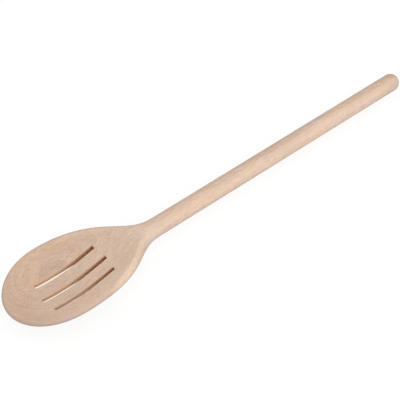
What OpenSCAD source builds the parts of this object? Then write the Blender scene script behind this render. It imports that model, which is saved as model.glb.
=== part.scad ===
// Slotted serving spoon, cut from one piece of beech.
// It lies along X with the tip of its bowl at -X and the end of its handle at +X.
// The origin is under the middle of its length, level with the lowest line of the bowl.

/* [Overall] */
// Length from the tip of the bowl to the end of the handle
total_l = 300; // [250:5:360]

/* [Bowl outline] */
// Length of the bowl, from its tip to where the round handle begins
bowl_l = 102; // [90:1:120]
// Width of the bowl at its widest place
bowl_w = 54.5; // [46:0.5:62]
// Distance from the tip to the widest place
widest_x = 36; // [30:1:42]

/* [Bowl depth] */
// Height of the rim over the handle's axis, where the rim is highest
rim_h = 7.7; // [6:0.1:9]
// Height of the widest line of the bowl's side over the handle's axis, where it is highest
side_h = 6.2; // [5:0.1:6.8]
// Distance from the widest line in to the rim, along the front of the bowl
rim_inset = 1.2; // [0.8:0.1:2]
// Depth of the dish under the handle's axis, at its deepest
dish_low = 4.4; // [3:0.1:6]
// Thickness of the wood under the deepest place of the dish
floor_t = 3.1; // [2.4:0.1:4]

/* [Slots] */
// Number of slots
slot_count = 3; // [1:2:5]
// Width of a slot
slot_w = 2.5; // [2:0.1:3.4]
// Distance between the middles of two neighbouring slots
slot_pitch = 10.2; // [8:0.1:11]
// Length of the middle slot
slot_l = 44.5; // [30:0.5:48]
// How much shorter each slot is than its neighbour nearer the middle
slot_step = 3.4; // [0:0.2:5]
// Distance from the tip to the middle of the slots
slot_x = 43.9; // [40:0.1:48]

/* [Handle] */
// Diameter of the handle
handle_d = 11.5; // [10:0.5:14]
// Length of the rounded end of the handle
end_l = 5.6; // [3:0.2:7]

/* [Hidden] */
beech = [0.85, 0.73, 0.63];

handle_r = handle_d / 2;
half_w = bowl_w / 2;
keel_low = dish_low + floor_t;

// The neck of the bowl stands this little proud of the handle that starts inside it.
neck_over = 0.05;
neck_r = handle_r + neck_over;
// How far the handle reaches into the neck, and how far a slot's cutter passes the wood
neck_overlap = 4;
cut_over = 2;

// Where the outline's handles sit, as shares of the half width and of the two lengths
tip_round_share = 0.52;
tip_side_share = 0.39;
neck_side_share = 0.67;
neck_round_share = 0.69;

// Heights along the bowl from the tip to the neck, as shares of the named heights
side_shares = [0.55, 1.26, 1.26, 0.22];
rim_shares = [0.62, 1.19, 1.06, 0.79];
// Distance of the rim inside the widest line, from the tip to the neck
inset_shares = [1.2, 0.8, 0.2, 5];
// Heights from the widest place to the neck: the dish as shares of the handle's radius
// over its axis, and the underside as shares of its own greatest depth
dish_rise_shares = [0.57, 1.22];
keel_share = 0.81;
// How far the underside is drawn in between the keel and the sides, which keeps the wood
// under the outer slots as thin as in the middle
drawn_in_share = 0.08;
// Power of the dish's cross section: 2 is a parabola, and more is flatter in the middle
dish_power = 2.3;
// Turn of the rounded edge, from the widest line up to the rim
rim_turn = 65;

neck_lines = 30;
tip_lines = 18;
dish_steps = 9;
edge_steps = 6;
belly_steps = 11;
round_steps = 12;
$fn = 96;

// A smooth curve drawn by repeated blending of its control values, at a share u of its length
function curve(c, u) =
    len(c) == 1 ? c[0] : curve([for (i = [0:len(c) - 2]) (1 - u) * c[i] + u * c[i + 1]], u);

// One side of the bowl's outline, from the neck round to the tip
neck_side = bowl_l - widest_x;
neck_curve = [
    [bowl_l, neck_r],
    [widest_x + neck_round_share * neck_side, neck_r],
    [widest_x + neck_side_share * neck_side, half_w],
    [widest_x, half_w]
];
tip_curve = [
    [widest_x, half_w],
    [widest_x * tip_side_share, half_w],
    [0, half_w * tip_round_share],
    [0, 0]
];
outline = concat(
    [for (i = [0:neck_lines - 1]) curve(neck_curve, i / neck_lines)],
    [for (i = [0:tip_lines]) curve(tip_curve, i / tip_lines)]
);

// Heights over the handle's axis, and the rim's inset, at a distance x from the tip
function side_z(x) = curve(concat(side_shares * side_h, [0]), x / bowl_l);
function rim_z(x) = curve(concat(rim_shares * rim_h, [neck_r * sin(rim_turn)]), x / bowl_l);
function inset(x) =
    curve(concat(inset_shares * rim_inset, [neck_r * (1 - cos(rim_turn))]), x / bowl_l);

// The middle line of the dish and of the underside, level from the tip's side to the
// widest place and running on into the handle's top and bottom at the neck
function past_widest(x) = (x - widest_x) / neck_side;
function dish_z(x) =
    curve(concat([-dish_low, -dish_low], dish_rise_shares * neck_r, [neck_r]), past_widest(x));
function keel_z(x) =
    curve([-keel_low, -keel_low, -keel_low, -keel_low * keel_share, -neck_r], past_widest(x));

// A line over the bowl's surface, from the middle of the dish over the rim and round to
// the middle of the underside. Past the widest place it runs straight across, and before
// it the lines fan out from the deepest place, round the tip.
function surface_line(p) =
    let (
        mid = [max(p.x, widest_x), 0],
        reach = norm(p - mid),
        rim_share = 1 - inset(p.x) / reach,
        side = side_z(p.x),
        rim = rim_z(p.x),
        dish = dish_z(mid.x),
        keel = keel_z(mid.x),
        drawn_in = drawn_in_share * (1 - pow(past_widest(mid.x), 2)),
        rows = concat(
            [for (k = [0:dish_steps])
                let (s = k / dish_steps)
                [rim_share * s, dish + (rim - dish) * pow(s, dish_power)]],
            [for (k = [1:edge_steps])
                let (turn = rim_turn * (1 - k / edge_steps))
                [1 - (1 - rim_share) * (1 - cos(turn)) / (1 - cos(rim_turn)),
                 side + (rim - side) * sin(turn) / sin(rim_turn)]],
            [for (k = [1:belly_steps])
                let (turn = 90 * k / belly_steps)
                [cos(turn),
                 side - (side - keel) * sin(turn) * (1 - drawn_in * pow(sin(2 * turn), 2))]]
        )
    )
    [for (row = rows) [mid.x + (p.x - mid.x) * row[0], p.y * row[0], row[1]]];

// The bowl and its neck as one closed skin, with its middle lines shared by both sides
module bowl() {
    last = len(outline) - 1;
    count = 2 * last + 1;
    inner = dish_steps + edge_steps + belly_steps - 1;
    sides = [for (p = outline) surface_line(p)];
    mids = neck_lines + 1;
    points = concat(
        [for (i = [0:neck_lines]) sides[i][0]],
        [for (i = [0:neck_lines]) sides[i][inner + 1]],
        [for (j = [0:count - 1])
            let (line = sides[min(j, 2 * last - j)], hand = j > last ? -1 : 1)
            for (k = [1:inner]) [line[k].x, hand * line[k].y, line[k].z]],
        [[bowl_l, 0, 0]]
    );
    function mid_index(j) = min(j, count - 1 - j, neck_lines);
    function index(j, k) =
        k == 0 ? mid_index(j)
        : k == inner + 1 ? mids + mid_index(j)
        : 2 * mids + j * inner + k - 1;
    skin = [
        for (j = [0:count - 2])
            for (k = [0:inner])
                let (
                    a = index(j, k),
                    b = index(j + 1, k),
                    c = index(j + 1, k + 1),
                    d = index(j, k + 1)
                )
                for (face = [[a, b, c], [a, c, d]])
                    if (face[0] != face[1] && face[1] != face[2]) face
    ];
    hub = len(points) - 1;
    cap = [
        for (k = [0:inner])
            for (face = [
                [index(0, k), index(0, k + 1), hub],
                [index(count - 1, k + 1), index(count - 1, k), hub]
            ]) face
    ];
    polyhedron(points = points, faces = concat(skin, cap), convexity = 6);
}

// The round handle, with its rounded end
module handle() {
    start = bowl_l - neck_overlap;
    straight = total_l - end_l - start;
    profile = concat(
        [[0, 0], [handle_r, 0]],
        [for (i = [0:round_steps - 1])
            let (turn = 90 * i / round_steps)
            [handle_r * cos(turn), straight + end_l * sin(turn)]],
        [[0, straight + end_l]]
    );
    translate([start, 0, 0])
        rotate([0, 90, 0])
            rotate_extrude()
                polygon(profile);
}

// The straight slots, cut square down through the dish
module slots() {
    cut_h = rim_h + keel_low + 2 * cut_over;
    for (i = [0:slot_count - 1]) {
        place = i - (slot_count - 1) / 2;
        length = slot_l - slot_step * abs(place);
        translate([slot_x - length / 2, place * slot_pitch - slot_w / 2, -keel_low - cut_over])
            cube([length, slot_w, cut_h]);
    }
}

module spoon() {
    color(beech)
        translate([-total_l / 2, 0, keel_low])
            difference() {
                union() {
                    bowl();
                    handle();
                }
                slots();
            }
}

spoon();
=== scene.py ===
"""Slotted serving spoon of plain beech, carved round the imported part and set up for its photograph.

The spoon lies along X with the tip of its bowl at -X. Its underside rests on the floor at z = 0.
Two Geometry Nodes trees make it: one carves the blank from the tip of the bowl to the end of the
handle, and the other cuts the straight slots through the dish and eases their edges.
"""

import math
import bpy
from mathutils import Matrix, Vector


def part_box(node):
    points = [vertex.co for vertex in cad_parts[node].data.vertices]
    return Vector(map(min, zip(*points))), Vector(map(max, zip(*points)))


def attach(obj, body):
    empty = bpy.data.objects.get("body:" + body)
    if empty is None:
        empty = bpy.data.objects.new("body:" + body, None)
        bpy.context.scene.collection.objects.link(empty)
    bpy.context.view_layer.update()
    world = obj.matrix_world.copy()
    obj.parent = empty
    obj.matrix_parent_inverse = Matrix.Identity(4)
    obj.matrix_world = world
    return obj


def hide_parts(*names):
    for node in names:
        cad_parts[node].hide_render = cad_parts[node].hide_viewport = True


bl_info = {
    "name": "Slotted serving spoon",
    "version": (1, 0, 0),
    "blender": (4, 5, 0),
    "location": "3D View > Sidebar > Spoon",
    "description": "Carves a slotted beech serving spoon, finishes its wood and lights it",
    "category": "Object",
}

import bpy
from bpy.props import FloatProperty, FloatVectorProperty, IntProperty, PointerProperty
from mathutils import Matrix, Vector

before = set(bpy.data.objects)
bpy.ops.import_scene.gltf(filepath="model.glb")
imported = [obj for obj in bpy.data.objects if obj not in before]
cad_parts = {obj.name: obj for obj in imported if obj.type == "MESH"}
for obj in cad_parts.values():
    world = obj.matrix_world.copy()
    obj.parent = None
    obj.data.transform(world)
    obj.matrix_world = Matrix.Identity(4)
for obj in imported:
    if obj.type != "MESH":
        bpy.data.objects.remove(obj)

MM = 0.001
SPOON_LOW, SPOON_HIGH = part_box("spoon")
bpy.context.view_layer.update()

# Shares that shape the bowl, the same as in the part's source: how the outline bends, how high
# the rim and the widest line run from the tip to the neck, how the middle line climbs, and how
# far the underside is drawn in between the keel and the sides
TIP_ROUND = 0.52
TIP_SIDE = 0.39
NECK_SIDE = 0.67
NECK_ROUND = 0.69
SIDE_SHARES = (0.55, 1.26, 1.26, 0.22)
RIM_SHARES = (0.62, 1.19, 1.06, 0.79)
INSET_SHARES = (1.2, 0.8, 0.2, 5)
DISH_RISE = (0.57, 1.22)
KEEL_SHARE = 0.81
DRAWN_IN = 0.08
DISH_POWER = 2.3
RIM_TURN = math.radians(65)
NECK_OVER = 0.05 * MM

# Where the softened corner of the rim begins in the dish and ends on the outer edge
CORNER_REACH = 0.55 * MM
CORNER_TURN = math.radians(44)

# Lines across the spoon, from the tip to the end of the handle, and rows along each line,
# from the middle of the dish over the rim to the middle of the underside
TIP_LINES = 58
NECK_LINES = 88
HANDLE_LINES = 66
END_LINES = 14
DISH_ROWS = 38
CORNER_ROWS = 5
EDGE_ROWS = 12
BELLY_ROWS = 36
# Lines over which the neck's ring shrinks to the handle's, rows from the rim over which its
# mark fades, and the distance within which two points become one
BLEND_LINES = 6
RIM_ROWS = 9
WELD = 0.001 * MM

# The ring of a slot's cutter: points round it, and the shares of them along each long side,
# each corner and each end
RING_POINTS = 150
LONG_SHARE = 0.36
CORNER_SHARE = 0.04
END_SHARE = 0.06
# Levels of the cutter outside the wood, and down an eased edge, how far that edge turns, how
# far the cutter flares past the wood's face and reaches past the whole spoon, and the smallest
# angle that stays a sharp edge
FLARE_LEVELS = 2
EASE_LEVELS = 4
EASE_TURN = math.radians(60)
FLARE = 1 * MM
CUTTER_REACH = 30 * MM
CREASE = math.radians(24)

# How the rings lie in the wood, in millimetres: they lean towards -Y and rise towards the
# handle, and a border between two years passes just under the deepest place of the dish
RING_LEAN = 0.42
RING_RISE = 0.041
RING_WIDTH = 2.2
FIRST_RING = 3.5
YEAR_SEED = 7
# Where in a year's ring the late wood comes in, where it stops, and where the early wood ends
LATE_SPAN = (0.2, 0.9)
BORDER_SPAN = (1.0, 0.98)
EARLY_SPAN = (0.4, 0.05)
# Where the surface lies along the rings, so that they are cut broad, and how much bolder they
# are there in front of and behind a place along the bowl
FLAT_SPAN = (0.965, 1.0)
BROAD_BOLDNESS = (0.6, -0.3)
BROAD_SPAN = (-108, -94)

# The speckles of the wood: how far their patches reach in millimetres along the grain, round
# the rings and through them, how finely they break up, and where their pattern starts
SPECKLES = {
    "wander": (75, 17, 17, 1, 3.1),
    "wobble": (11, 2.6, 2.6, 2, 0),
    "fading": (26, 12, 12, 1, 107),
    "layers": (55, 7, 0.34, 1, 0),
    "fibres": (13, 0.8, 0.8, 3, 11),
    "hairs": (4.5, 0.42, 0.42, 3, 5),
    "broad": (48, 9, 9, 2, 8),
    "blotches": (6.5, 2.8, 2.8, 3, 17),
    "spots": (5, 2.2, 2.2, 3, 29),
    "patches": (17, 6, 6, 1, 41),
    "dots": (0.7, 0.11, 0.11, 1, 2),
}
# The rays: the room for each one, measured as a speckle is, which rooms hold one, and how its
# edge fades; and which of the dots are pores
RAY_ROOM = (2.3, 0.42, 4.5)
RAY_CHANCE = (0.45, 0.6)
RAY_EDGE = (0.34, 0.16)
PORE_SPAN = (0.1, 0.22)

# The wood's tone runs from the late wood's colour at 0 to the early wood's at 1. How much each
# mark of the wood adds to it, to how far the rings stray, to how bold they are, to how orange
# the wood is, to how brown, to its roughness, and to its relief in millimetres
PLAIN_TONE = 0.66
TONE_LIMITS = (-0.3, 1.6)
TONE_MARKS = {"year": 0.12, "layers": 0.34, "fibres": 1.0, "hairs": 2.4, "broad": 0.45,
              "blotches": 0.55}
RING_TONES = {"late": -0.42, "early": 0.16}
STRAY_MARKS = {"wander": 1.6, "wobble": 0.4}
PLAIN_BOLDNESS = 0.42
PLAIN_FADING = 0.85
FADING_MARKS = {"fading": 1.6}
WARM_MARKS = {"spots": 1, "patches": 1}
WARM_LIMIT = 0.2
# How strongly the wood leans to orange and to grey pink in the bowl and along the handle, and
# where the one passes into the other
WARM_PLAY = (0.7, 1.6)
NECK_SPAN = (-60, -20)
BROWN_MARKS = {"rays": 0.6, "pores": 0.18}
PLAIN_ROUGHNESS = 0.58
ROUGH_MARKS = {"blotches": 0.16, "fibres": 0.12, "rays": -0.08, "wall": 0.12, "end grain": 0.08}
RELIEF_MARKS = {"hairs": 0.011, "fibres": 0.014, "pores": -0.012, "rays": -0.006,
                "layers": 0.006}
# How much the sanded wood shines
SHINE = 0.35

# Places where the wood is paler or darker: their middles and how far they reach, along and
# across the spoon in millimetres, and how much they add to its tone. They are the middle of the
# dish, painted paler as painted light against the shade of its hollow, two places along the handle,
# and the handle's end.
TONE_AND_LIGHT_PATCHES = (
    ((-104, 0), (38, 15), 0.5),
    ((50, 3), (34, 9), -0.36),
    ((92, -1), (28, 8), 0.12),
    ((152, 0), (30, 24), -0.62),
)
# Painted light: how much paler the wood is made per millimetre towards -Y, against the shade on that
# side of the dish, and how much more along that side of the bowl, from where to where across and
# along
PAINTED_LIGHT_SLOPE = 0.013
SIDE_PAINTED_LIGHT = 0.25
SIDE_ACROSS = (-8, -22)
SIDE_ALONG = (-135, -112)
# Painted shade: how much darker the tip of the bowl is made, and from where to where
TIP_PAINTED_SHADE = -0.3
TIP_SPAN = (-124, -142)
# A painted sheen: the pale grey pink patch at the neck
SHEEN_MIDDLE = (-57, -2)
SHEEN_REACH = (15, 11)
SHEEN_SHARE = 0.35
# Where the softened rim is paler, and how much
RIM_SPAN = (-106, -86)
RIM_SHARE = 0.35

# The round front of the bowl, whose outer side gets painted shade: its middle and radius in
# millimetres, where its surface starts to face outwards, how far back that counts, how much of the
# tone's play is lost there as painted shade, and how much of the end grain is lost there
FRONT_MIDDLE = -114
FRONT_RADIUS = 27
OUTER_FACING = (-0.3, 0.3)
OUTER_SPAN = (-84, -104)
OUTER_PAINTED_SHADE = 0.6
OUTER_GRAIN_LOSS = 0.8
# Painted shade on outer faces: from where to where a surface comes to face outwards, and to turn out
# of sight
SHADE_SIDE_FACING = (-0.1, 0.1)
SHADE_AWAY_SPAN = (0.15, 0.9)
# Where the surface cuts the ends of the fibres, how dark that is, and how much of it shows
END_FACING = (0.12, 0.95)
END_DARK = 0.82
END_GRAIN_SHARE = 0.65

# The slot walls: where along the spoon and how deep in a slot painted shade darkens them, where the
# slots stop, how dark the painted shade makes that end, how deep the painted highlight on the eased
# edge fades into the wall, and where the wall starts, all in millimetres
WALL_SHADE_SPAN = (-113, -80)
WALL_SHADE_DEPTH = (0.3, 2.4)
STOP_SPAN = (-90, -86)
STOP_FACING = (0.5, 0.9)
STOP_SHADE = 0.4
EDGE_HIGHLIGHT_DEPTH = (0.15, 1.5)
WALL_DEPTH = (0.1, 0.5)
WALL_START = (0.0, 0.06)
WALL_HAIRS = 1.6

# The floor: half its width in metres, its plain matt white, and the glow that a camera sees
# most of
FLOOR_HALF = 3.0
FLOOR_WHITE = 0.86
FLOOR_ROUGHNESS = 0.9
FLOOR_GLOW = 1.04
FLOOR_GLOW_SHARE = 0.84
# The floor under the bowl, which shows through the slots: a painted pool of the warm light that the
# wood throws back on it, laid into its glow, with red over 1 because the place lies in shade, the
# middle of that patch, its reach along and across in metres, and where within that reach it fades
PAINTED_BOUNCE = (1.1, 0.912, 0.755)
BOUNCE_MIDDLE = (-0.115, 0.0075)
BOUNCE_REACH = (0.021, 0.0105)
BOUNCE_FADE = (0.45, 1.0)

# The large soft lamp: the way to it, how far off it is, and its width and height in metres
WINDOW_SIDE = (0.45, -0.8, 0.27)
WINDOW_DISTANCE = 1.5
WINDOW_SIZE = (1.6, 1.2)
# The width of the camera's sensor in millimetres
SENSOR_WIDTH = 36

# Which inputs of a Mix node are its two colours, and which output is their mix
MIX_COLOURS = (6, 7)
MIX_RESULT = 2


class SpoonSizes(bpy.types.PropertyGroup):
    """Sizes of the blank."""

    length: FloatProperty(
        name="Length", description="From the tip of the bowl to the end of the handle",
        default=SPOON_HIGH.x - SPOON_LOW.x, unit="LENGTH", subtype="DISTANCE")
    bowl_width: FloatProperty(
        name="Bowl width", description="Width of the bowl at its widest place",
        default=SPOON_HIGH.y - SPOON_LOW.y, unit="LENGTH", subtype="DISTANCE")
    bowl_length: FloatProperty(
        name="Bowl length", description="From the tip to where the round handle begins",
        default=102 * MM, unit="LENGTH", subtype="DISTANCE")
    widest: FloatProperty(
        name="Widest place", description="Distance from the tip to the widest place",
        default=36 * MM, unit="LENGTH", subtype="DISTANCE")
    rim_height: FloatProperty(
        name="Rim height", description="Height of the rim over the handle's axis",
        default=7.7 * MM, unit="LENGTH", subtype="DISTANCE")
    side_height: FloatProperty(
        name="Side height", description="Height of the widest line over the handle's axis",
        default=6.2 * MM, unit="LENGTH", subtype="DISTANCE")
    rim_inset: FloatProperty(
        name="Rim inset", description="From the widest line in to the rim",
        default=1.2 * MM, unit="LENGTH", subtype="DISTANCE")
    dish_depth: FloatProperty(
        name="Dish depth", description="Depth of the dish under the handle's axis",
        default=4.4 * MM, unit="LENGTH", subtype="DISTANCE")
    floor: FloatProperty(
        name="Floor", description="Thickness of the wood under the deepest place",
        default=3.1 * MM, unit="LENGTH", subtype="DISTANCE")
    handle_width: FloatProperty(
        name="Handle diameter", description="Diameter of the round handle",
        default=11.5 * MM, unit="LENGTH", subtype="DISTANCE")
    end_length: FloatProperty(
        name="Rounded end", description="Length of the rounded end of the handle",
        default=5.6 * MM, unit="LENGTH", subtype="DISTANCE")


class SlotSizes(bpy.types.PropertyGroup):
    """Sizes of the slots."""

    count: IntProperty(
        name="Slots", description="Number of slots", default=3, min=1, max=5)
    width: FloatProperty(
        name="Slot width", description="Width of a slot",
        default=2.5 * MM, unit="LENGTH", subtype="DISTANCE")
    pitch: FloatProperty(
        name="Slot pitch", description="Between the middles of two neighbouring slots",
        default=10.2 * MM, unit="LENGTH", subtype="DISTANCE")
    length: FloatProperty(
        name="Middle slot", description="Length of the middle slot",
        default=44.5 * MM, unit="LENGTH", subtype="DISTANCE")
    step: FloatProperty(
        name="Slot step",
        description="How much shorter each slot is than the one nearer the middle",
        default=3.4 * MM, unit="LENGTH", subtype="DISTANCE")
    place: FloatProperty(
        name="Slot place", description="From the tip of the bowl to the middle of the slots",
        default=43.9 * MM, unit="LENGTH", subtype="DISTANCE")
    corner: FloatProperty(
        name="Slot corner", description="Radius of a slot's corners, seen from above",
        default=0.4 * MM, unit="LENGTH", subtype="DISTANCE")
    ease: FloatProperty(
        name="Slot ease", description="Depth of the softened edge round each slot",
        default=0.3 * MM, unit="LENGTH", subtype="DISTANCE")


class BeechColours(bpy.types.PropertyGroup):
    """Colours of the sanded, unoiled beech, and of the painted light and shade on it."""

    cream: FloatVectorProperty(
        name="Early wood", description="The pale, creamy wood where a ring starts",
        default=(0.715, 0.537, 0.414), subtype="COLOR", min=0, max=1)
    pink: FloatVectorProperty(
        name="Late wood", description="The pinker, browner wood where a ring ends",
        default=(0.555, 0.392, 0.293), subtype="COLOR", min=0, max=1)
    ochre: FloatVectorProperty(
        name="Warm stain", description="Stain of the places that lean to orange",
        default=(1.0, 0.955, 0.865), subtype="COLOR", min=0, max=1)
    mauve: FloatVectorProperty(
        name="Cool stain", description="Stain of the places that lean to grey pink",
        default=(0.95, 0.955, 1.0), subtype="COLOR", min=0, max=1)
    # Painted sheen: this pale grey pink on the neck stands in for a soft highlight.
    neck_sheen: FloatVectorProperty(
        name="Neck", description="The pale grey pink where the neck climbs across the grain",
        default=(0.73, 0.595, 0.50), subtype="COLOR", min=0, max=1)
    # Painted shade: this film darkens outer faces where they turn out of sight.
    shade: FloatVectorProperty(
        name="Turned away", description="Stain of the outer faces where they turn out of sight",
        default=(0.80, 0.795, 0.80), subtype="COLOR", min=0, max=1)
    # Painted shade: this film darkens the outer side of the bowl's front.
    front: FloatVectorProperty(
        name="Front", description="Stain of the outer side of the bowl's round front",
        default=(0.95, 0.945, 0.975), subtype="COLOR", min=0, max=1)
    fleck: FloatVectorProperty(
        name="Ray flecks", description="The short brown lines of the rays",
        default=(0.42, 0.275, 0.185), subtype="COLOR", min=0, max=1)
    # Painted highlight: the eased edges round the slots are given this brighter colour.
    edge: FloatVectorProperty(
        name="Eased edges", description="The bright edges round the slots",
        default=(0.77, 0.54, 0.385), subtype="COLOR", min=0, max=1)
    sawn: FloatVectorProperty(
        name="Slot walls", description="The walls of the slots, at their ends near the tip",
        default=(0.74, 0.51, 0.355), subtype="COLOR", min=0, max=1)
    # Painted shade: the walls darken to this colour deep in the slots and near the handle.
    shaded_wall: FloatVectorProperty(
        name="Scorched walls", description="The walls where the cutter stopped, near the handle",
        default=(0.59, 0.315, 0.165), subtype="COLOR", min=0, max=1)


class Studio(bpy.types.PropertyGroup):
    """The camera's place, and the levels of the light."""

    azimuth: FloatProperty(
        name="Azimuth", description="Turn of the camera round the spoon",
        default=math.radians(-37.94), unit="ROTATION", subtype="ANGLE")
    elevation: FloatProperty(
        name="Elevation", description="Height of the camera over the horizon",
        default=math.radians(48.221), unit="ROTATION", subtype="ANGLE")
    roll: FloatProperty(
        name="Roll", description="Turn of the camera about its own axis",
        default=math.radians(-1.484), unit="ROTATION", subtype="ANGLE")
    aside: FloatVectorProperty(
        name="Aside",
        description="How far the spoon stands right of and above the picture's middle",
        default=(11.427 * MM, 7.118 * MM), size=2, unit="LENGTH")
    distance: FloatProperty(
        name="Distance", description="From the camera to the middle of the spoon",
        default=724.805 * MM, unit="LENGTH", subtype="DISTANCE")
    lens: FloatProperty(
        name="Lens", description="Focal length on a 36 mm wide sensor, in millimetres",
        default=108.56)
    sky: FloatProperty(
        name="Sky", description="Level of the even light from all round", default=0.935)
    window: FloatProperty(
        name="Window", description="Power of the large soft lamp, in watts", default=9.8)


class Field:
    """A number or vector that a node tree works out at each point, so that a tree is written
    as plain arithmetic."""

    def __init__(self, tree, socket):
        self.tree = tree
        self.socket = socket

    def __add__(self, other):
        return maths("ADD", self, other)

    def __radd__(self, other):
        return maths("ADD", other, self)

    def __sub__(self, other):
        return maths("SUBTRACT", self, other)

    def __rsub__(self, other):
        return maths("SUBTRACT", other, self)

    def __mul__(self, other):
        return maths("MULTIPLY", self, other)

    def __rmul__(self, other):
        return maths("MULTIPLY", other, self)

    def __truediv__(self, other):
        return maths("DIVIDE", self, other)

    def __rtruediv__(self, other):
        return maths("DIVIDE", other, self)

    def __neg__(self):
        return maths("MULTIPLY", self, -1)


def plug(socket, value):
    """Links a field to a node's input, or sets the input to a plain value."""
    if isinstance(value, Field):
        value.tree.links.new(value.socket, socket)
    else:
        socket.default_value = value


def add_node(tree, kind, plugs=(), **settings):
    """A new node with its settings, and its inputs plugged by name or number."""
    node = tree.nodes.new(kind)
    for name, value in settings.items():
        setattr(node, name, value)
    for name, value in dict(plugs).items():
        plug(node.inputs[name], value)
    return node


def output(node, name=0):
    """One output of a node, as a field."""
    return Field(node.id_data, node.outputs[name])


def maths(operation, *values):
    """One sum on fields and plain numbers."""
    tree = next(value.tree for value in values if isinstance(value, Field))
    return output(add_node(tree, "ShaderNodeMath", enumerate(values), operation=operation))


def blend(first, second, share):
    """A share of the way from the first value to the second."""
    return first + (second - first) * share


def curve(values, share):
    """A smooth curve drawn by repeated blending of its control values."""
    while len(values) > 1:
        values = [blend(a, b, share) for a, b in zip(values, values[1:])]
    return values[0]


def stretch(value, start, end):
    """How far a value is from start to end, from 0 to 1, and held there outside them."""
    return output(add_node(value.tree, "ShaderNodeMapRange", {0: value, 1: start, 2: end}))


def sine(angle):
    return maths("SINE", angle)


def cosine(angle):
    return maths("COSINE", angle)


def point(tree, x, y, z):
    """A vector field from three numbers."""
    return output(add_node(tree, "ShaderNodeCombineXYZ", {0: x, 1: y, 2: z}))


def parted(vector):
    """The three numbers of a vector field."""
    node = add_node(vector.tree, "ShaderNodeSeparateXYZ", {0: vector})
    return tuple(output(node, number) for number in range(3))


def start_tree(name, sizes, takes_mesh):
    """A geometry tree with named inputs: the tree, its inputs as fields, and their identifiers."""
    tree = bpy.data.node_groups.new(name, "GeometryNodeTree")
    if takes_mesh:
        tree.interface.new_socket("Mesh", in_out="INPUT", socket_type="NodeSocketGeometry")
    tree.interface.new_socket("Mesh", in_out="OUTPUT", socket_type="NodeSocketGeometry")
    identifiers = {}
    for label, value in sizes.items():
        kind = "NodeSocketInt" if isinstance(value, int) else "NodeSocketFloat"
        socket = tree.interface.new_socket(label, in_out="INPUT", socket_type=kind)
        socket.default_value = value
        if kind == "NodeSocketFloat":
            socket.subtype = "DISTANCE"
        identifiers[label] = socket.identifier
    given = tree.nodes.new("NodeGroupInput")
    fields = {socket.name: Field(tree, socket) for socket in given.outputs if socket.name}
    return tree, fields, identifiers


def end_tree(tree, mesh, finish):
    """Realizes what a tree made, gives it its material and sends it out."""
    realized = add_node(tree, "GeometryNodeRealizeInstances", {0: mesh})
    painted = add_node(tree, "GeometryNodeSetMaterial", {"Geometry": output(realized)})
    painted.inputs["Material"].default_value = finish
    result = tree.nodes.new("NodeGroupOutput")
    plug(result.inputs[0], output(painted))


def add_tree(piece, tree, identifiers, sizes):
    """Puts a tree on a piece as a modifier, with its sizes set."""
    modifier = piece.modifiers.new(tree.name, "NODES")
    modifier.node_group = tree
    for label, value in sizes.items():
        modifier[identifiers[label]] = value


def settle(piece, finish):
    """Turns what a piece's modifiers make into its own plain mesh, of one finish."""
    graph = bpy.context.evaluated_depsgraph_get()
    made = bpy.data.meshes.new_from_object(piece.evaluated_get(graph))
    piece.modifiers.clear()
    rough = piece.data
    piece.data = made
    bpy.data.meshes.remove(rough)
    made.name = piece.name
    made.materials.clear()
    made.materials.append(finish)
    if not made.polygons:
        raise RuntimeError(piece.name + " came out empty")


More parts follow.
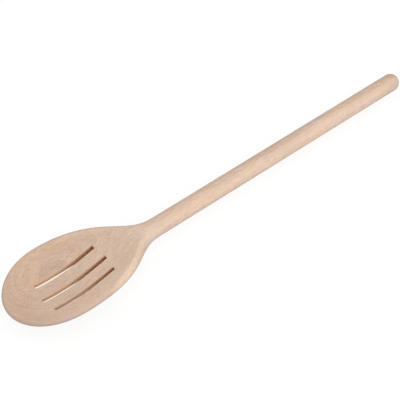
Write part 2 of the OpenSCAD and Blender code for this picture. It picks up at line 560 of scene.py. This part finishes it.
def blank_tree(sizes, finish):
    """The tree that carves the whole spoon without its slots, as one skin."""
    tree, size, identifiers = start_tree("Spoon blank", sizes, takes_mesh=False)
    rows = DISH_ROWS + CORNER_ROWS + EDGE_ROWS + BELLY_ROWS + 1
    neck_line = TIP_LINES + NECK_LINES
    end_line = neck_line + HANDLE_LINES
    lines = end_line + END_LINES
    grid = add_node(tree, "GeometryNodeMeshGrid", {"Vertices X": 2 * lines + 1, "Vertices Y": rows})

    index = output(tree.nodes.new("GeometryNodeInputIndex"))
    line = maths("FLOOR", (index + 0.5) / rows)
    row = index - line * rows
    hand = maths("SIGN", line - lines)
    place = maths("ABSOLUTE", line - lines)

    widest = size["Widest place"]
    bowl_length = size["Bowl length"]
    half_width = size["Bowl width"] / 2
    handle_r = size["Handle diameter"] / 2
    neck_r = handle_r + NECK_OVER
    neck_side = bowl_length - widest
    keel_low = size["Dish depth"] + size["Floor"]

    # The outline: round the tip to the widest place, and on to the neck
    tip_share = stretch(place, 0, TIP_LINES)
    neck_share = stretch(place, TIP_LINES, neck_line)
    x = (curve([0, 0, widest * TIP_SIDE, widest], tip_share) - widest
         + curve([widest, widest + NECK_SIDE * neck_side, widest + NECK_ROUND * neck_side,
                  bowl_length], neck_share))
    y = (curve([0, half_width * TIP_ROUND, half_width, half_width], tip_share) - half_width
         + curve([half_width, half_width, neck_r, neck_r], neck_share))

    # Heights over the handle's axis, and the rim's inset, along the bowl
    along = x / bowl_length
    side_end, inset_end = neck_r * math.sin(RIM_TURN), neck_r * (1 - math.cos(RIM_TURN))
    side = curve([size["Side height"] * share for share in SIDE_SHARES] + [0], along)
    rim = curve([size["Rim height"] * share for share in RIM_SHARES] + [side_end], along)
    inset = curve([size["Rim inset"] * share for share in INSET_SHARES] + [inset_end], along)
    middle = maths("MAXIMUM", x, widest)
    past = (middle - widest) / neck_side
    deep = -size["Dish depth"]
    dish = curve([deep, deep, *(neck_r * share for share in DISH_RISE), neck_r], past)
    keel = curve([-keel_low] * 3 + [keel_low * -KEEL_SHARE, -neck_r], past)

    # Across a line: the dish, the softened corner of the rim, the round edge and the belly
    reach = maths("SQRT", maths("POWER", middle - x, 2) + y * y)
    rim_reach = reach - inset
    corner_share = 1 - CORNER_REACH / rim_reach
    round_x = inset / (1 - math.cos(RIM_TURN))
    round_z = (rim - side) / math.sin(RIM_TURN)

    def dish_height(share):
        return dish + (rim - dish) * maths("POWER", share, DISH_POWER)

    start_x, start_z = rim_reach * corner_share, dish_height(corner_share)
    stop_x = reach - round_x * (1 - math.cos(CORNER_TURN))
    stop_z = side + round_z * math.sin(CORNER_TURN)
    slope_in = (DISH_POWER * (rim - dish) * maths("POWER", corner_share, DISH_POWER - 1)
                / rim_reach)
    slope_out = round_z * math.cos(CORNER_TURN) / (round_x * -math.sin(CORNER_TURN))
    meet_x = (stop_z - start_z + slope_in * start_x - slope_out * stop_x) / (slope_in - slope_out)
    meet_z = start_z + slope_in * (meet_x - start_x)

    first_edge = DISH_ROWS + CORNER_ROWS
    first_belly = first_edge + EDGE_ROWS
    dish_share = stretch(row, 0, DISH_ROWS) * corner_share
    corner = stretch(row, DISH_ROWS, first_edge)
    edge_turn = CORNER_TURN * (1 - stretch(row, first_edge, first_belly))
    belly_turn = stretch(row, first_belly, rows - 1) * (math.pi / 2)
    drawn_in = DRAWN_IN * (1 - past * past) * maths("POWER", sine(belly_turn * 2), 2)
    across = (rim_reach * dish_share
              + curve([start_x, meet_x, stop_x], corner) - start_x
              + reach - round_x * (1 - cosine(edge_turn)) - stop_x
              + reach * (cosine(belly_turn) - 1))
    height = (dish_height(dish_share)
              + curve([start_z, meet_z, stop_z], corner) - start_z
              + side + round_z * sine(edge_turn) - stop_z
              - (side - keel) * sine(belly_turn) * (1 - drawn_in))

    # The handle runs on from the neck's ring, which shrinks to the handle and round its end
    run = stretch(place, neck_line, end_line)
    end_turn = stretch(place, end_line, lines) * (math.pi / 2)
    shrink = (blend(1, handle_r / neck_r, stretch(place, neck_line, neck_line + BLEND_LINES))
              * cosine(end_turn))
    straight = size["Length"] - size["End length"] - bowl_length
    share = across / reach
    where = point(
        tree,
        middle + (x - middle) * share + straight * run + size["End length"] * sine(end_turn)
        - size["Length"] / 2,
        y * share * hand * shrink,
        height * shrink + keel_low,
    )
    shaped = add_node(tree, "GeometryNodeSetPosition",
                      {"Geometry": output(grid), "Position": where})
    nearness = 1 - maths("ABSOLUTE", row - (DISH_ROWS + CORNER_ROWS / 2)) / RIM_ROWS
    rim_marked = store(output(shaped), "rim", maths("MAXIMUM", nearness, 0))
    welded = add_node(tree, "GeometryNodeMergeByDistance",
                      {"Geometry": rim_marked, "Distance": WELD})
    smooth = add_node(tree, "GeometryNodeSetShadeSmooth", {"Geometry": output(welded)})
    end_tree(tree, output(smooth), finish)
    return tree, identifiers


def captured(mesh, **fields):
    """Keeps fields on a mesh's points: the mesh, and each field as it was there."""
    node = mesh.tree.nodes.new("GeometryNodeCaptureAttribute")
    for name, field in fields.items():
        kind = "VECTOR" if field.socket.type == "VECTOR" else "FLOAT"
        node.capture_items.new(kind, name)
    plug(node.inputs["Geometry"], mesh)
    for name, field in fields.items():
        plug(node.inputs[name], field)
    return output(node, "Geometry"), [output(node, name) for name in fields]


def store(mesh, name, field):
    """Keeps a field on a mesh's points under a name that the wood's finish can read."""
    return output(add_node(mesh.tree, "GeometryNodeStoreNamedAttribute", {
        "Geometry": mesh, "Name": name, "Value": field,
    }, data_type="FLOAT", domain="POINT"))


def wood_height(wood, x, y, face):
    """The height of the wood's face at a place, seen from above for 1 and from below for -1."""
    tree = wood.tree
    hit = add_node(tree, "GeometryNodeRaycast", {
        "Target Geometry": wood,
        "Source Position": point(tree, x, y, face * CUTTER_REACH),
        "Ray Direction": point(tree, 0, 0, -face),
        "Ray Length": 2 * CUTTER_REACH,
    })
    return parted(output(hit, "Hit Position"))[2]


def slots_tree(sizes, finish):
    """The tree that cuts the row of slots and eases their edges where they meet the wood."""
    tree, size, identifiers = start_tree("Slots", sizes, takes_mesh=True)
    blank = size["Mesh"]
    index = output(tree.nodes.new("GeometryNodeInputIndex"))
    spread = (size["Slots"] - 1) / 2
    row = add_node(tree, "GeometryNodeMeshLine", {
        "Count": size["Slots"],
        "Start Location": point(tree, size["Slot place"], -spread * size["Slot pitch"], 0),
        "Offset": point(tree, 0, size["Slot pitch"], 0),
    })
    spot = output(tree.nodes.new("GeometryNodeInputPosition"))
    row, (centre, rank) = captured(output(row), centre=spot, rank=index - spread)

    # A plain ring of levels, which is moved into the shape of each slot
    levels = 2 * (FLARE_LEVELS + EASE_LEVELS) + 1
    ring = add_node(tree, "GeometryNodeMeshCylinder", {
        "Vertices": RING_POINTS, "Side Segments": levels, "Radius": 1, "Depth": 1,
    }, fill_type="NGON")
    spot_x, spot_y, spot_z = parted(spot)
    turn = maths("FRACT", maths("ARCTAN2", spot_y, spot_x) / (2 * math.pi) + 1)
    level = maths("ROUND", (0.5 - spot_z) * levels)
    ring, (turn, level) = captured(output(ring, "Mesh"), turn=turn, level=level)
    cutters = add_node(tree, "GeometryNodeInstanceOnPoints", {"Points": row, "Instance": ring})
    cutters = add_node(tree, "GeometryNodeRealizeInstances", {0: output(cutters)})

    # Round the slot: along a side, round a corner, across an end, and so on
    long_half = ((size["Slot length"] - size["Slot step"] * maths("ABSOLUTE", rank)) / 2
                 - size["Slot corner"])
    short_half = size["Slot width"] / 2 - size["Slot corner"]
    half_ring = LONG_SHARE + CORNER_SHARE + END_SHARE + CORNER_SHARE

    def leg(start, share):
        return stretch(turn, start, start + share)

    sides = [leg(start, LONG_SHARE) for start in (0, half_ring)]
    ends = [leg(start + LONG_SHARE + CORNER_SHARE, END_SHARE) for start in (0, half_ring)]
    corners = [leg(start + shift, CORNER_SHARE) for start in (0, half_ring)
               for shift in (LONG_SHARE, half_ring - CORNER_SHARE)]
    bend = (corners[0] + corners[1] + corners[2] + corners[3]) * (math.pi / 2)
    out_x, out_y = sine(bend), -cosine(bend)

    # Down the slot: straight sides that turn outwards where they reach the wood's two faces
    depth = maths("MINIMUM", level, levels - level)
    face = maths("SIGN", levels / 2 - level)
    ease_r = size["Slot ease"] / math.sin(EASE_TURN)
    ease_turn = EASE_TURN * (1 - stretch(depth, FLARE_LEVELS, FLARE_LEVELS + EASE_LEVELS))
    flare = FLARE * (1 - stretch(depth, 1, FLARE_LEVELS))
    grow = (size["Slot corner"] + ease_r * (1 - cosine(ease_turn))
            + flare * math.sin(EASE_TURN))
    centre_x, centre_y, _ = parted(centre)
    x = centre_x + long_half * (2 * (sides[0] - sides[1]) - 1) + grow * out_x
    y = centre_y + short_half * (2 * (ends[0] - ends[1]) - 1) + grow * out_y
    surface = wood_height(blank, x, y, face)
    lift = ease_r * sine(ease_turn) - size["Slot ease"] + flare * math.cos(EASE_TURN)
    z = blend(face * CUTTER_REACH, surface + face * lift, stretch(depth, 0, 1))
    cutters = add_node(tree, "GeometryNodeSetPosition",
                       {"Geometry": output(cutters), "Position": point(tree, x, y, z)})
    marked = store(output(cutters), "sawn", (wood_height(blank, x, y, 1) - spot_z) / MM)
    cut = add_node(tree, "GeometryNodeMeshBoolean", {
        "Mesh 1": blank, "Mesh 2": marked,
    }, operation="DIFFERENCE", solver="MANIFOLD")

    angle = output(tree.nodes.new("GeometryNodeInputMeshEdgeAngle"))
    smooth = add_node(tree, "GeometryNodeSetShadeSmooth", {"Geometry": output(cut)})
    creased = add_node(tree, "GeometryNodeSetShadeSmooth", {
        "Geometry": output(smooth), "Selection": maths("GREATER_THAN", angle, CREASE),
        "Shade Smooth": False,
    }, domain="EDGE")
    end_tree(tree, output(creased), finish)
    return tree, identifiers


def ease(value, start, end):
    """How far a value is from start to end, from 0 to 1, starting and stopping gently."""
    return output(add_node(value.tree, "ShaderNodeMapRange", {0: value, 1: start, 2: end},
                           interpolation_type="SMOOTHSTEP"))


def tint(first, second, share):
    """A colour that is a share of the way from the first colour to the second."""
    node = add_node(share.tree, "ShaderNodeMix", {0: share}, data_type="RGBA", clamp_factor=False)
    for number, colour in zip(MIX_COLOURS, (first, second)):
        plug(node.inputs[number], colour if isinstance(colour, Field) else (*colour, 1))
    return output(node, MIX_RESULT)


def away_from(spot, middle, reach):
    """How far a spot is from the middle of an oval patch, which ends at 1."""
    along, across = ((place - centre) / size for place, centre, size in zip(spot, middle, reach))
    return maths("SQRT", along * along + across * across)


def stored(tree, name):
    """A field that the geometry trees kept on the mesh under a name."""
    return output(add_node(tree, "ShaderNodeAttribute", attribute_name=name), "Fac")


def stain(colour, film, share):
    """A colour seen through a share of a clear film of another colour."""
    node = add_node(share.tree, "ShaderNodeMix", {0: share}, data_type="RGBA",
                    blend_type="MULTIPLY")
    for number, value in zip(MIX_COLOURS, (colour, (*film, 1))):
        plug(node.inputs[number], value)
    return output(node, MIX_RESULT)


def mixed(marks, shares):
    """The sum of some marks of the wood, each by its share."""
    return sum(share * marks[name] for name, share in shares.items())


class Timber:
    """The inside of the beech: its axes along the grain, round the rings and through them, and
    its marks."""

    def __init__(self, tree):
        here = tree.nodes.new("ShaderNodeTexCoord")
        self.tree = tree
        self.x, self.y, z = (part / MM for part in parted(output(here, "Object")))
        self.through = z - RING_LEAN * self.y - RING_RISE * self.x
        self.round = self.y + RING_LEAN * z
        self.face_x, self.face_y, face_z = parted(output(here, "Normal"))
        # How far the surface lies along the rings, and how far the bowl's front faces outwards
        self.flat = ((face_z - RING_LEAN * self.face_y - RING_RISE * self.face_x)
                     / math.hypot(1, RING_LEAN, RING_RISE))
        self.outward = ((self.face_x * (self.x - FRONT_MIDDLE) + self.face_y * self.y)
                        / FRONT_RADIUS)
        # Where painted shade darkens the outer side of the bowl's front
        self.outer = ease(self.outward, *OUTER_FACING) * ease(self.x, *OUTER_SPAN)
        self.marks = {name: self.speckle(*sizes) for name, sizes in SPECKLES.items()}
        self.marks.update(self.seasons())
        self.marks["rays"] = self.rays()
        self.marks["pores"] = ease(self.marks["dots"], *PORE_SPAN)
        self.marks["end grain"] = (ease(maths("ABSOLUTE", self.face_x), *END_FACING)
                                   * (1 - OUTER_GRAIN_LOSS * self.outer))

    def speckle(self, along, round_, through, detail, shift):
        """Seeded noise whose patches have these sizes in the wood, from about -0.5 to 0.5."""
        where = point(self.tree, self.x / along + shift, self.round / round_,
                      self.through / through + shift)
        return output(add_node(self.tree, "ShaderNodeTexNoise", {
            "Vector": where, "Scale": 1.0, "Detail": detail})) - 0.5

    def rays(self):
        """Thin sheets through the rings, seen as short lines, or as broad flecks side on."""
        along, round_, through = RAY_ROOM
        rooms = point(self.tree, self.x / along, self.round / round_, self.through / through)
        rooms = add_node(self.tree, "ShaderNodeTexVoronoi", {"Vector": rooms, "Scale": 1.0})
        chance, _, _ = parted(output(rooms, "Color"))
        return ease(output(rooms, "Distance"), *RAY_EDGE) * ease(chance, *RAY_CHANCE)

    def seasons(self):
        """The marks of the growth rings: each year's own tone, and its late and early wood."""
        years = (self.through + FIRST_RING + mixed(self.marks, STRAY_MARKS)) / RING_WIDTH
        year = add_node(self.tree, "ShaderNodeTexWhiteNoise",
                        {"W": maths("FLOOR", years) + YEAR_SEED}, noise_dimensions="1D")
        season = maths("FRACT", years)
        return {
            "year": output(year) - 0.5,
            "late": ease(season, *LATE_SPAN) * ease(season, *BORDER_SPAN),
            "early": ease(season, *EARLY_SPAN),
        }

    def rings(self):
        """What the growth rings add to the tone: a year starts pale, and ends dark and crisp."""
        broad = ease(self.flat, *FLAT_SPAN) * blend(*BROAD_BOLDNESS, ease(self.x, *BROAD_SPAN))
        fading = PLAIN_FADING + mixed(self.marks, FADING_MARKS)
        return mixed(self.marks, RING_TONES) * (PLAIN_BOLDNESS + broad) * fading

    def tone(self):
        """Where the wood's colour lies between the late wood's and the early wood's."""
        # Painted light: the wood is made paler towards -Y
        tone = PLAIN_TONE + self.rings() + mixed(self.marks, TONE_MARKS) - PAINTED_LIGHT_SLOPE * self.y
        # Painted light: the first patch lifts the shade in the middle of the dish; the others are the
        # wood's own tone
        for middle, reach, lift in TONE_AND_LIGHT_PATCHES:
            tone += lift * stretch(away_from((self.x, self.y), middle, reach), 1, 0)
        # Painted shade at the tip of the bowl
        tone += TIP_PAINTED_SHADE * ease(self.x, *TIP_SPAN)
        # Painted light on the -Y side of the bowl
        tone += SIDE_PAINTED_LIGHT * ease(self.y, *SIDE_ACROSS) * ease(self.x, *SIDE_ALONG)
        darkest, palest = TONE_LIMITS
        tone = maths("MINIMUM", maths("MAXIMUM", tone, darkest), palest)
        # Painted shade: the bowl's front loses some of its tone's play
        return tone * (1 - OUTER_PAINTED_SHADE * self.outer)


def bare_wood(wood, colours):
    """The colour of the sanded surface, everywhere but in the slots."""
    colour = tint(colours.pink, colours.cream, wood.tone())
    warmth = mixed(wood.marks, WARM_MARKS) * blend(*WARM_PLAY, ease(wood.x, *NECK_SPAN))
    colour = stain(colour, colours.ochre, stretch(warmth, 0, WARM_LIMIT))
    colour = stain(colour, colours.mauve, stretch(warmth, 0, -WARM_LIMIT))
    # Painted sheen: a pale grey pink patch on the neck
    neck = ease(away_from((wood.x, wood.y), SHEEN_MIDDLE, SHEEN_REACH), 1, 0)
    colour = tint(colour, colours.neck_sheen, SHEEN_SHARE * neck)
    colour = tint(colour, colours.fleck, mixed(wood.marks, BROWN_MARKS))

    # End grain drinks the light, and the softened rim is a little paler. Painted shade makes the
    # outer side of the bowl's front a little darker, and outer faces more so where they turn out of
    # sight
    colour = tint(colour, [END_DARK * part for part in colours.pink],
                  END_GRAIN_SHARE * wood.marks["end grain"])
    rim = stored(wood.tree, "rim") * ease(wood.x, *RIM_SPAN)
    colour = tint(colour, colours.cream, RIM_SHARE * rim)
    # Painted shade on the outer side of the bowl's front
    colour = stain(colour, colours.front, wood.outer)
    # Painted shade on outer faces that turn out of sight
    painted_edge_shade = add_node(wood.tree, "ShaderNodeLayerWeight", {"Blend": 0.5})
    painted_edge_shade = ease(output(painted_edge_shade, "Facing"), *SHADE_AWAY_SPAN) * ease(wood.outward, *SHADE_SIDE_FACING)
    return stain(colour, colours.shade, painted_edge_shade)


def slot_wall(wood, colours, depth):
    """The colour of a slot's walls, from a painted highlight on their eased edges to painted shade
    deep in the slots and at their ends near the handle.
    """
    # Painted shade, darker deeper in the slots and towards the handle
    wall_shade = ease(wood.x, *WALL_SHADE_SPAN) * ease(depth, *WALL_SHADE_DEPTH)
    wall = tint(colours.sawn, colours.shaded_wall, wall_shade)
    # Painted shade on the end walls where the slots stop near the handle
    stop = ease(-wood.face_x, *STOP_FACING) * ease(wood.x, *STOP_SPAN)
    wall = tint(wall, [STOP_SHADE * part for part in colours.shaded_wall], stop)
    wall = tint(wall, colours.fleck, maths("MAXIMUM", WALL_HAIRS * wood.marks["hairs"], 0))
    # Painted highlight on the eased edges at the top of the walls
    return tint(colours.edge, wall, ease(depth, *EDGE_HIGHLIGHT_DEPTH))


def beech_finish(colours):
    """Sanded beech, cut through its rings, with its ray flecks and fibres, painted shade in its
    slots, and painted light and shade on its surface.
    """
    finish = bpy.data.materials.new("sanded_beech")
    finish.use_nodes = True
    tree = finish.node_tree
    shader = tree.nodes["Principled BSDF"]
    wood = Timber(tree)
    depth = stored(tree, "sawn")
    wood.marks["wall"] = ease(depth, *WALL_DEPTH)
    colour = tint(bare_wood(wood, colours), slot_wall(wood, colours, depth),
                  ease(depth, *WALL_START))
    plug(shader.inputs["Base Color"], colour)
    plug(shader.inputs["Roughness"], PLAIN_ROUGHNESS + mixed(wood.marks, ROUGH_MARKS))
    shader.inputs["Specular IOR Level"].default_value = SHINE
    bump = add_node(tree, "ShaderNodeBump", {
        "Height": mixed(wood.marks, RELIEF_MARKS), "Strength": 1.0, "Distance": MM})
    plug(shader.inputs["Normal"], output(bump))
    return finish


class SPOON_OT_carve(bpy.types.Operator):
    """Carve the spoon from one piece of beech and cut its slots"""

    bl_idname = "spoon.carve"
    bl_label = "Carve the spoon"

    def execute(self, context):
        sizes, slots = context.scene.spoon_sizes, context.scene.spoon_slots
        finish = beech_finish(context.scene.spoon_beech)
        blank_sizes = {
            "Length": sizes.length,
            "Bowl length": sizes.bowl_length,
            "Bowl width": sizes.bowl_width,
            "Widest place": sizes.widest,
            "Rim height": sizes.rim_height,
            "Side height": sizes.side_height,
            "Rim inset": sizes.rim_inset,
            "Dish depth": sizes.dish_depth,
            "Floor": sizes.floor,
            "Handle diameter": sizes.handle_width,
            "End length": sizes.end_length,
        }
        slot_sizes = {
            "Slots": slots.count,
            "Slot width": slots.width,
            "Slot pitch": slots.pitch,
            "Slot length": slots.length,
            "Slot step": slots.step,
            "Slot place": slots.place - sizes.length / 2,
            "Slot corner": slots.corner,
            "Slot ease": slots.ease,
        }
        spoon = bpy.data.objects.new("beech_spoon", bpy.data.meshes.new("beech_spoon"))
        context.scene.collection.objects.link(spoon)
        add_tree(spoon, *blank_tree(blank_sizes, finish), blank_sizes)
        add_tree(spoon, *slots_tree(slot_sizes, finish), slot_sizes)
        settle(spoon, finish)
        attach(spoon, "root")
        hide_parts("spoon")
        return {"FINISHED"}


class SPOON_OT_stage(bpy.types.Operator):
    """Lay the white floor, light it softly and set the camera where the photograph was taken"""

    bl_idname = "spoon.stage"
    bl_label = "Set the stage"

    def execute(self, context):
        studio = context.scene.spoon_studio
        lay_floor(context)
        light_softly(context, studio)
        set_camera(context, studio)
        return {"FINISHED"}


def seen_directly(tree):
    """1 for a ray from the camera, or one mirrored or sent through to it, and 0 for the rest."""
    path = tree.nodes.new("ShaderNodeLightPath")
    seen = output(path, "Is Camera Ray") + output(path, "Is Glossy Ray")
    return maths("MINIMUM", seen + output(path, "Is Transmission Ray"), 1)


def lay_floor(context):
    """A wide white floor that keeps a faint shadow, with a painted pool of warm bounce light under
    the bowl.
    """
    finish = bpy.data.materials.new("white_floor")
    finish.use_nodes = True
    tree = finish.node_tree
    paper = tree.nodes["Principled BSDF"]
    paper.inputs["Base Color"].default_value = (FLOOR_WHITE, FLOOR_WHITE, FLOOR_WHITE, 1)
    paper.inputs["Roughness"].default_value = FLOOR_ROUGHNESS
    paper.inputs["Specular IOR Level"].default_value = 0
    x, y, _ = parted(output(tree.nodes.new("ShaderNodeTexCoord"), "Object"))
    # Painted warm bounce light in a patch under the bowl
    beyond = ease(away_from((x, y), BOUNCE_MIDDLE, BOUNCE_REACH), *BOUNCE_FADE)
    below = output(tree.nodes.new("ShaderNodeNewGeometry"), "Backfacing")
    white = tint(PAINTED_BOUNCE, (1, 1, 1), maths("MAXIMUM", beyond, below))
    glow = add_node(tree, "ShaderNodeEmission", {"Color": white, "Strength": FLOOR_GLOW})
    mix = add_node(tree, "ShaderNodeMixShader", {0: seen_directly(tree) * FLOOR_GLOW_SHARE})
    tree.links.new(paper.outputs[0], mix.inputs[1])
    tree.links.new(glow.outputs[0], mix.inputs[2])
    tree.links.new(mix.outputs[0], tree.nodes["Material Output"].inputs["Surface"])
    mesh = bpy.data.meshes.new("floor")
    corners = [(x * FLOOR_HALF, y * FLOOR_HALF, 0) for x, y in ((-1, -1), (1, -1), (1, 1), (-1, 1))]
    mesh.from_pydata(corners, [], [(0, 1, 2, 3)])
    mesh.materials.append(finish)
    floor = bpy.data.objects.new("floor", mesh)
    context.scene.collection.objects.link(floor)


def light_softly(context, studio):
    """Even light from all round, and one large soft lamp on the -Y side."""
    world = bpy.data.worlds.new("studio")
    world.use_nodes = True
    tree = world.node_tree
    sky = tree.nodes["Background"]
    sky.inputs["Color"].default_value = (1, 1, 1, 1)
    plug(sky.inputs["Strength"], blend(studio.sky, 1.0, seen_directly(tree)))
    context.scene.world = world
    context.scene.view_settings.view_transform = "Standard"

    lamp = bpy.data.lights.new("window", "AREA")
    lamp.shape = "RECTANGLE"
    lamp.size, lamp.size_y = WINDOW_SIZE
    lamp.energy = studio.window
    window = bpy.data.objects.new("window", lamp)
    back = Vector(WINDOW_SIDE).normalized()
    window.location = back * WINDOW_DISTANCE
    window.rotation_mode = "QUATERNION"
    window.rotation_quaternion = back.to_track_quat("Z", "Y")
    context.scene.collection.objects.link(window)


def set_camera(context, studio):
    """The camera where the photograph was taken from."""
    a, e, r = studio.azimuth, studio.elevation, studio.roll
    back = Vector((math.sin(a) * math.cos(e), -math.cos(a) * math.cos(e), math.sin(e)))
    right = Vector((math.cos(a), math.sin(a), 0))
    up = back.cross(right)
    axes = (math.cos(r) * right + math.sin(r) * up, math.cos(r) * up - math.sin(r) * right, back)
    turn = Matrix(axes).transposed()
    sizes = context.scene.spoon_sizes
    target = Vector((0, 0, sizes.dish_depth + sizes.floor))
    data = bpy.data.cameras.new("camera")
    data.sensor_fit = "HORIZONTAL"
    data.sensor_width = SENSOR_WIDTH
    data.lens = studio.lens
    camera = bpy.data.objects.new("camera", data)
    place = turn @ Vector((-studio.aside[0], -studio.aside[1], studio.distance))
    camera.matrix_world = Matrix.Translation(target + place) @ turn.to_4x4()
    context.scene.collection.objects.link(camera)
    context.scene.camera = camera


class SPOON_PT_panel(bpy.types.Panel):
    """Everything that makes the spoon, in order."""

    bl_idname = "SPOON_PT_panel"
    bl_label = "Slotted serving spoon"
    bl_space_type = "VIEW_3D"
    bl_region_type = "UI"
    bl_category = "Spoon"

    def draw(self, context):
        for name in GROUPS:
            group = getattr(context.scene, name)
            box = self.layout.box()
            for prop in group.bl_rna.properties:
                if prop.identifier in group.__annotations__:
                    box.prop(group, prop.identifier)
        for operator in OPERATORS:
            self.layout.operator(operator.bl_idname)


GROUPS = {
    "spoon_sizes": SpoonSizes,
    "spoon_slots": SlotSizes,
    "spoon_beech": BeechColours,
    "spoon_studio": Studio,
}
OPERATORS = (SPOON_OT_carve, SPOON_OT_stage)


def register():
    for cls in (*GROUPS.values(), *OPERATORS, SPOON_PT_panel):
        bpy.utils.register_class(cls)
    for name, group in GROUPS.items():
        setattr(bpy.types.Scene, name, PointerProperty(type=group))


def unregister():
    for name in GROUPS:
        delattr(bpy.types.Scene, name)
    for cls in (SPOON_PT_panel, *OPERATORS, *GROUPS.values()):
        bpy.utils.unregister_class(cls)


def main():
    """Makes everything."""
    register()
    bpy.ops.spoon.carve()
    bpy.ops.spoon.stage()


if __name__ == "__main__":
    main()
